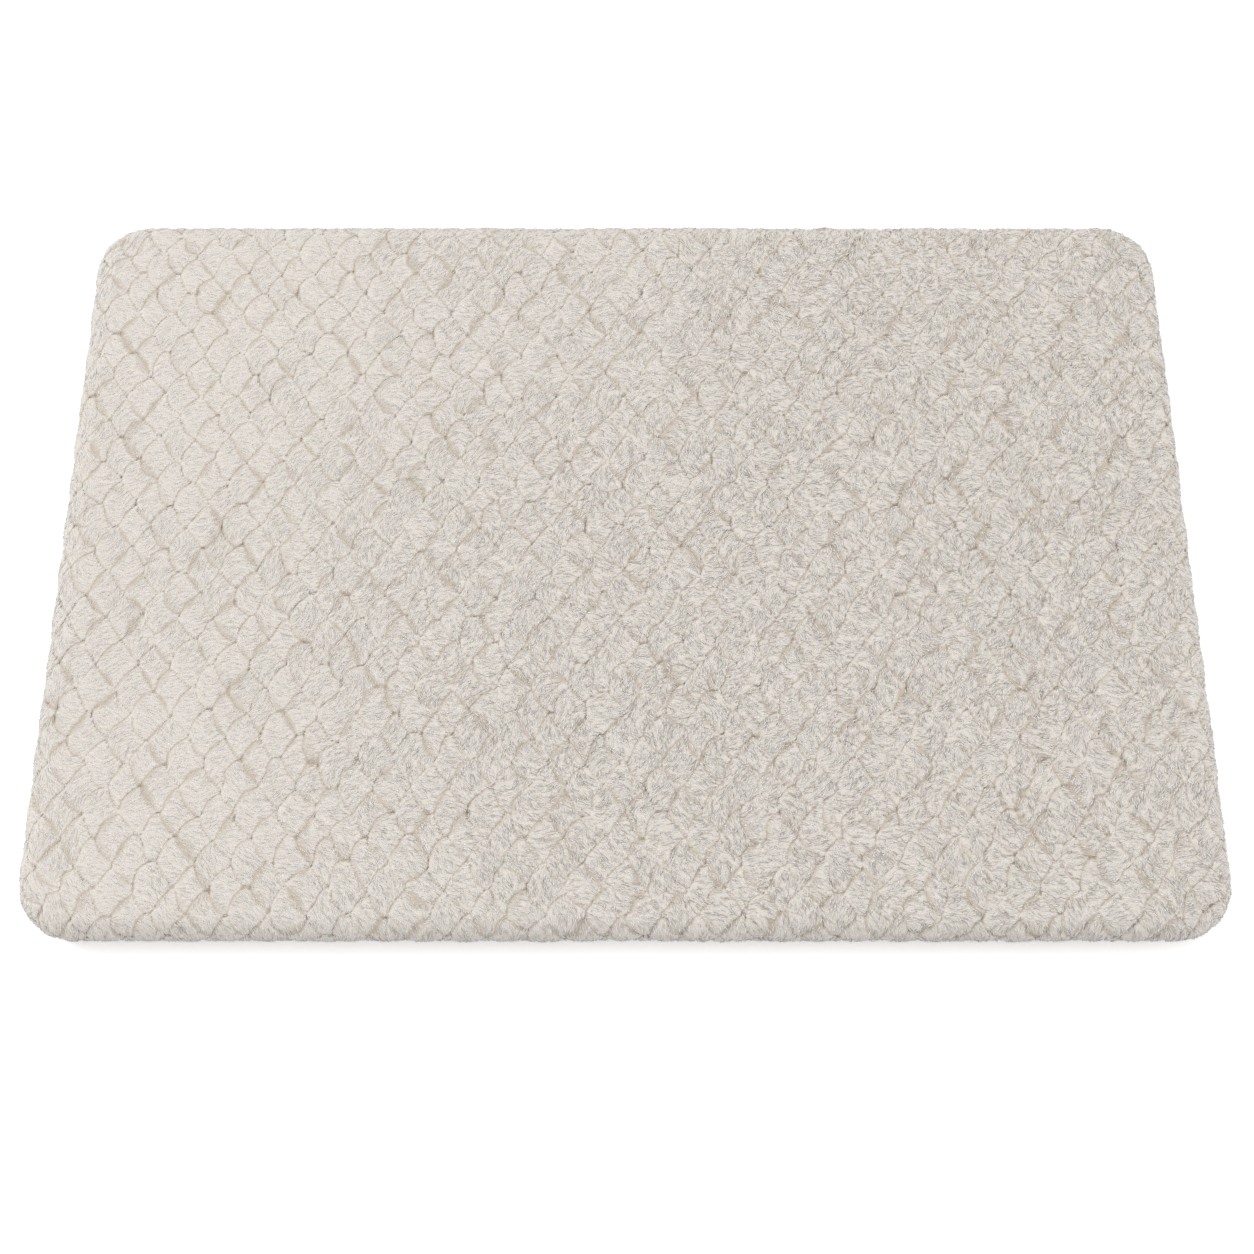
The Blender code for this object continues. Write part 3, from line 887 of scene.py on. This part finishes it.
# Care label. A blank white satin ribbon, folded in two. Its ends are held between the backing and the
# bar tack, and from there it lies flat under the backing, or flips out past the mat's rear edge.

LABEL_PLY = 0.00022
RIBBON_THICKNESS = 0.00012
RIBBON_WAVE = 0.00003
label_low, label_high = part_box("care_label")
label_level = 0.0006
fold_y = label_low.y + LABEL_PLY + RIBBON_THICKNESS / 2

# The ribbon's path as (y, level): its upper end in the tack, round the fold, and its lower end back.
upper = [(0.1945, 0.00192), (0.1936, 0.00192), (0.1925, 0.00191), (0.1919, 0.00175),
         (0.1915, 0.00125), (0.19125, 0.00088), (0.1911, 0.00077), (0.1910, 0.00074),
         (0.1908, 0.00074), (0.1905, 0.00077), (0.1900, 0.00080)]
lower = [(0.1900, 0.00040), (0.1905, 0.00043), (0.1908, 0.00046), (0.1910, 0.00046),
         (0.1912, 0.00047), (0.19145, 0.00060), (0.1918, 0.00115), (0.1921, 0.00158),
         (0.1925, 0.00176), (0.1936, 0.00178), (0.1945, 0.00178)]
run_y = np.linspace(0.189, fold_y, 16)
wave = RIBBON_WAVE * np.sin(run_y * 300)
fold_turn = np.linspace(0, math.pi, 9)[1:-1]
run = [(y, label_level + LABEL_PLY + lie) for y, lie in zip(run_y, wave)]
fold = [
    (fold_y - LABEL_PLY * math.sin(turn), label_level + LABEL_PLY * math.cos(turn))
    for turn in fold_turn
]
back = [(y, label_level - LABEL_PLY + lie) for y, lie in zip(run_y[::-1], wave[::-1])]
path = np.array(upper + run + fold + back + lower)
path_length = np.append(0, np.cumsum(np.hypot(*np.diff(path, axis=0).T)))
ribbon_width = label_high.x - label_low.x
label, flat_x, flat_y = grid_piece("care_label_ribbon", even_lines(ribbon_width / 2, 0.002), path_length)
along_y = np.interp(flat_y, path_length, path[:, 0])
along_z = np.interp(flat_y, path_length, path[:, 1])
set_points(label.data, np.stack([flat_x, along_y, along_z], -1))
ribbon_points = np.empty(len(label.data.loops), np.int32)
label.data.loops.foreach_get("vertex_index", ribbon_points)
set_map(
    label.data,
    MAP_MARGIN + (flat_x[ribbon_points] + ribbon_width / 2) / path_length[-1] * MAP_SPAN,
    MAP_MARGIN + flat_y[ribbon_points] / path_length[-1] * MAP_SPAN)
applied(label, "SOLIDIFY", thickness=RIBBON_THICKNESS, offset=0)
label.data.shade_smooth()
label.data.set_sharp_from_angle(angle=math.radians(50))
satin_material, tree, shader = material_named("white_satin", (0.88, 0.875, 0.86), 0.38)
shader.inputs["Sheen Weight"].default_value = 0.2
shader.inputs["Anisotropic"].default_value = 0.4
ribbon_map = node(tree, "UVMap", uv_map="OFBake")
weave = node(tree, "TexWave", wave_type="BANDS", bands_direction="DIAGONAL", Scale=90)
tree.links.new(ribbon_map.outputs["UV"], weave.inputs["Vector"])
# Painted shade: the satin is coloured in darker and lighter diagonal bands along its weave, as well as
# bumped.
weave_painted_shade = ramp(tree, weave.outputs["Fac"], (0.0, (0.83, 0.825, 0.81)), (0.7, (0.90, 0.895, 0.88)))
tree.links.new(weave_painted_shade, shader.inputs["Base Color"])
bump = node(tree, "Bump", Strength=0.3, Distance=0.00005)
tree.links.new(weave.outputs["Fac"], bump.inputs["Height"])
tree.links.new(bump.outputs["Normal"], shader.inputs["Normal"])
label.data.materials.append(satin_material)
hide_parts("care_label")
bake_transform(label)


# Studio. The mat lies on a plain white sweep, in soft light from all round. A large soft lamp stands
# to the left and behind, and a weaker one to the right.

VIEW_ELEVATION = math.radians(64)
VIEW_DISTANCE = 1.1695
VIEW_CENTRE = (0.00105, -0.0348, 0.0)
LENS_MM, SENSOR_MM = 62.0, 36.0
camera_data = bpy.data.cameras.new("camera")
camera_data.lens = LENS_MM
camera_data.sensor_width = SENSOR_MM
camera = bpy.data.objects.new("camera", camera_data)
bpy.context.scene.collection.objects.link(camera)
camera.location = (
    VIEW_CENTRE[0],
    VIEW_CENTRE[1] - VIEW_DISTANCE * math.cos(VIEW_ELEVATION),
    VIEW_DISTANCE * math.sin(VIEW_ELEVATION),
)
camera.rotation_euler = (math.pi / 2 - VIEW_ELEVATION, 0, 0)
bpy.context.scene.camera = camera

FLOOR_ALBEDO = 0.60
FLOOR_SEEN_ALBEDO = 0.95
FLOOR_GLOW = 0.28
floor_material, tree, shader = material_named("white_floor", (FLOOR_ALBEDO,) * 3, 0.9)
shader.inputs["Emission Color"].default_value = (1, 1, 1, 1)
light_path = node(tree, "LightPath")
glow = node(tree, "Math", operation="MULTIPLY")
glow.inputs[1].default_value = FLOOR_GLOW
tree.links.new(light_path.outputs["Is Camera Ray"], glow.inputs[0])
tree.links.new(glow.outputs[0], shader.inputs["Emission Strength"])
seen = mixed(tree, light_path.outputs["Is Camera Ray"], (FLOOR_ALBEDO,) * 3, (FLOOR_SEEN_ALBEDO,) * 3)
tree.links.new(seen, shader.inputs["Base Color"])
bpy.ops.object.select_all(action="DESELECT")
bpy.ops.mesh.primitive_plane_add(size=8)
floor = bpy.context.object
floor.name = "studio_floor"
floor.data.materials.append(floor_material)


def area_light(name, place, target, size, power):
    """A round soft lamp at this place, aimed at the target."""
    data = bpy.data.lights.new(name, "AREA")
    data.shape = "DISK"
    data.size = size
    data.energy = power
    lamp = bpy.data.objects.new(name, data)
    bpy.context.scene.collection.objects.link(lamp)
    lamp.location = place
    lamp.rotation_euler = (Vector(target) - Vector(place)).to_track_quat("-Z", "Y").to_euler()


area_light("key_light", place=(-3.3, 0.9, 2.25), target=(0, 0, 0), size=1.35, power=50)
area_light("fill_light", place=(3.4, -0.3, 1.2), target=(0, 0, 0), size=1.7, power=24)
world = bpy.data.worlds.new("studio")
bpy.context.scene.world = world
world.use_nodes = True
world.node_tree.nodes["Background"].inputs["Color"].default_value = (1, 1, 1, 1)
world.node_tree.nodes["Background"].inputs["Strength"].default_value = 1.0
bpy.context.scene.view_settings.view_transform = "Standard"
